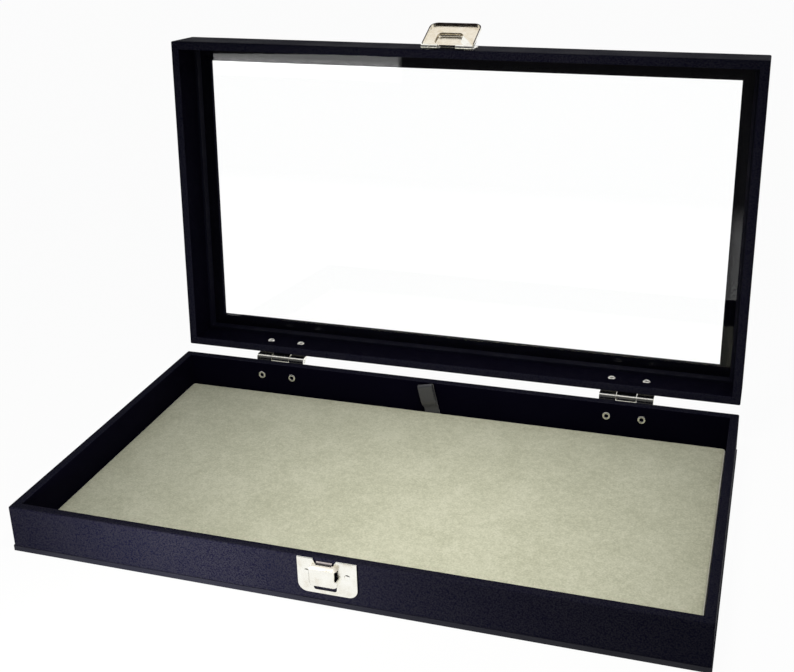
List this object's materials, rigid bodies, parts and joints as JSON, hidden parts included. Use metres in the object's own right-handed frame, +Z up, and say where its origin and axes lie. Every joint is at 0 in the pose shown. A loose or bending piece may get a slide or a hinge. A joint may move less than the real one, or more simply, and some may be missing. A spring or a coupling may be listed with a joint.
{
  "type": "badge display case",
  "caption": "Flat glass-lidded display case: leatherette tray with a lift-out velvet pad, hinged framed window lid, stop hinges and a folding hasp clasp. Shown open.",
  "frame": {"origin": "centre of the underside of the bottom board", "axes": "+X along the long side, to the right seen from the clasp; +Y from the clasp side to the hinge side; +Z up"},
  "size_m": [0.3754, 0.2609, 0.2526],
  "materials": {
    "rail_wood": "plain sawn wood, hidden under the covering",
    "leatherette": "black grained leatherette with a blue cast",
    "bottom_board": "fibreboard faced with black grained paper",
    "window_board": "fibreboard faced with black paper",
    "bead_wood": "black painted wooden bead",
    "window_glass": "clear float glass",
    "pad_board": "grey-brown hardboard",
    "pad_foam": "soft white foam",
    "pad_velvet": "short olive-grey velvet",
    "ribbon_satin": "black satin",
    "nickel_plate": "bright nickel plate"
  },
  "bodies": {
    "tray": {"base_board": "bottom_board", "tray_front_rail": "rail_wood", "tray_back_rail": "rail_wood", "tray_left_rail": "rail_wood", "tray_right_rail": "rail_wood", "tray_wrap": "leatherette", "catch_plate": "nickel_plate", "catch_hood": "nickel_plate", "catch_pins": "nickel_plate", "left_hinge_tray_leaf": "nickel_plate", "right_hinge_tray_leaf": "nickel_plate", "left_hinge_pin": "nickel_plate", "right_hinge_pin": "nickel_plate", "tray_hinge_rivets": "nickel_plate"},
    "pad": {"pad_board": "pad_board", "pad_foam": "pad_foam", "pad_velvet": "pad_velvet", "pull_ribbon": "ribbon_satin"},
    "lid": {"lid_front_rail": "rail_wood", "lid_back_rail": "rail_wood", "lid_left_rail": "rail_wood", "lid_right_rail": "rail_wood", "window_front_strip": "window_board", "window_back_strip": "window_board", "window_left_strip": "window_board", "window_right_strip": "window_board", "lid_wrap": "leatherette", "glass_pane": "window_glass", "glazing_front_bead": "bead_wood", "glazing_back_bead": "bead_wood", "glazing_left_bead": "bead_wood", "glazing_right_bead": "bead_wood", "left_hinge_lid_leaf": "nickel_plate", "right_hinge_lid_leaf": "nickel_plate", "lid_hinge_rivets": "nickel_plate", "hasp_plate": "nickel_plate", "hasp_plate_pins": "nickel_plate", "hasp_pin": "nickel_plate"},
    "hasp": {"hasp_flap": "nickel_plate"}
  },
  "joints": [
    {"name": "lid_hinge", "type": "hinge", "parent": "tray", "child": "lid", "pos_m": [0, 0.10837, 0.02765], "axis": [1, 0, 0], "range_deg": [0, 93.8]},
    {"name": "hasp_hinge", "type": "hinge", "parent": "lid", "child": "hasp", "pos_m": [-0.0015, 0.12446, 0.24195], "axis": [1, 0, 0], "range_deg": [0, 154]},
    {"name": "pad_lift", "type": "slide", "parent": "tray", "child": "pad", "axis": [0, 0, 1], "range_m": [0, 0.02]}
  ]
}
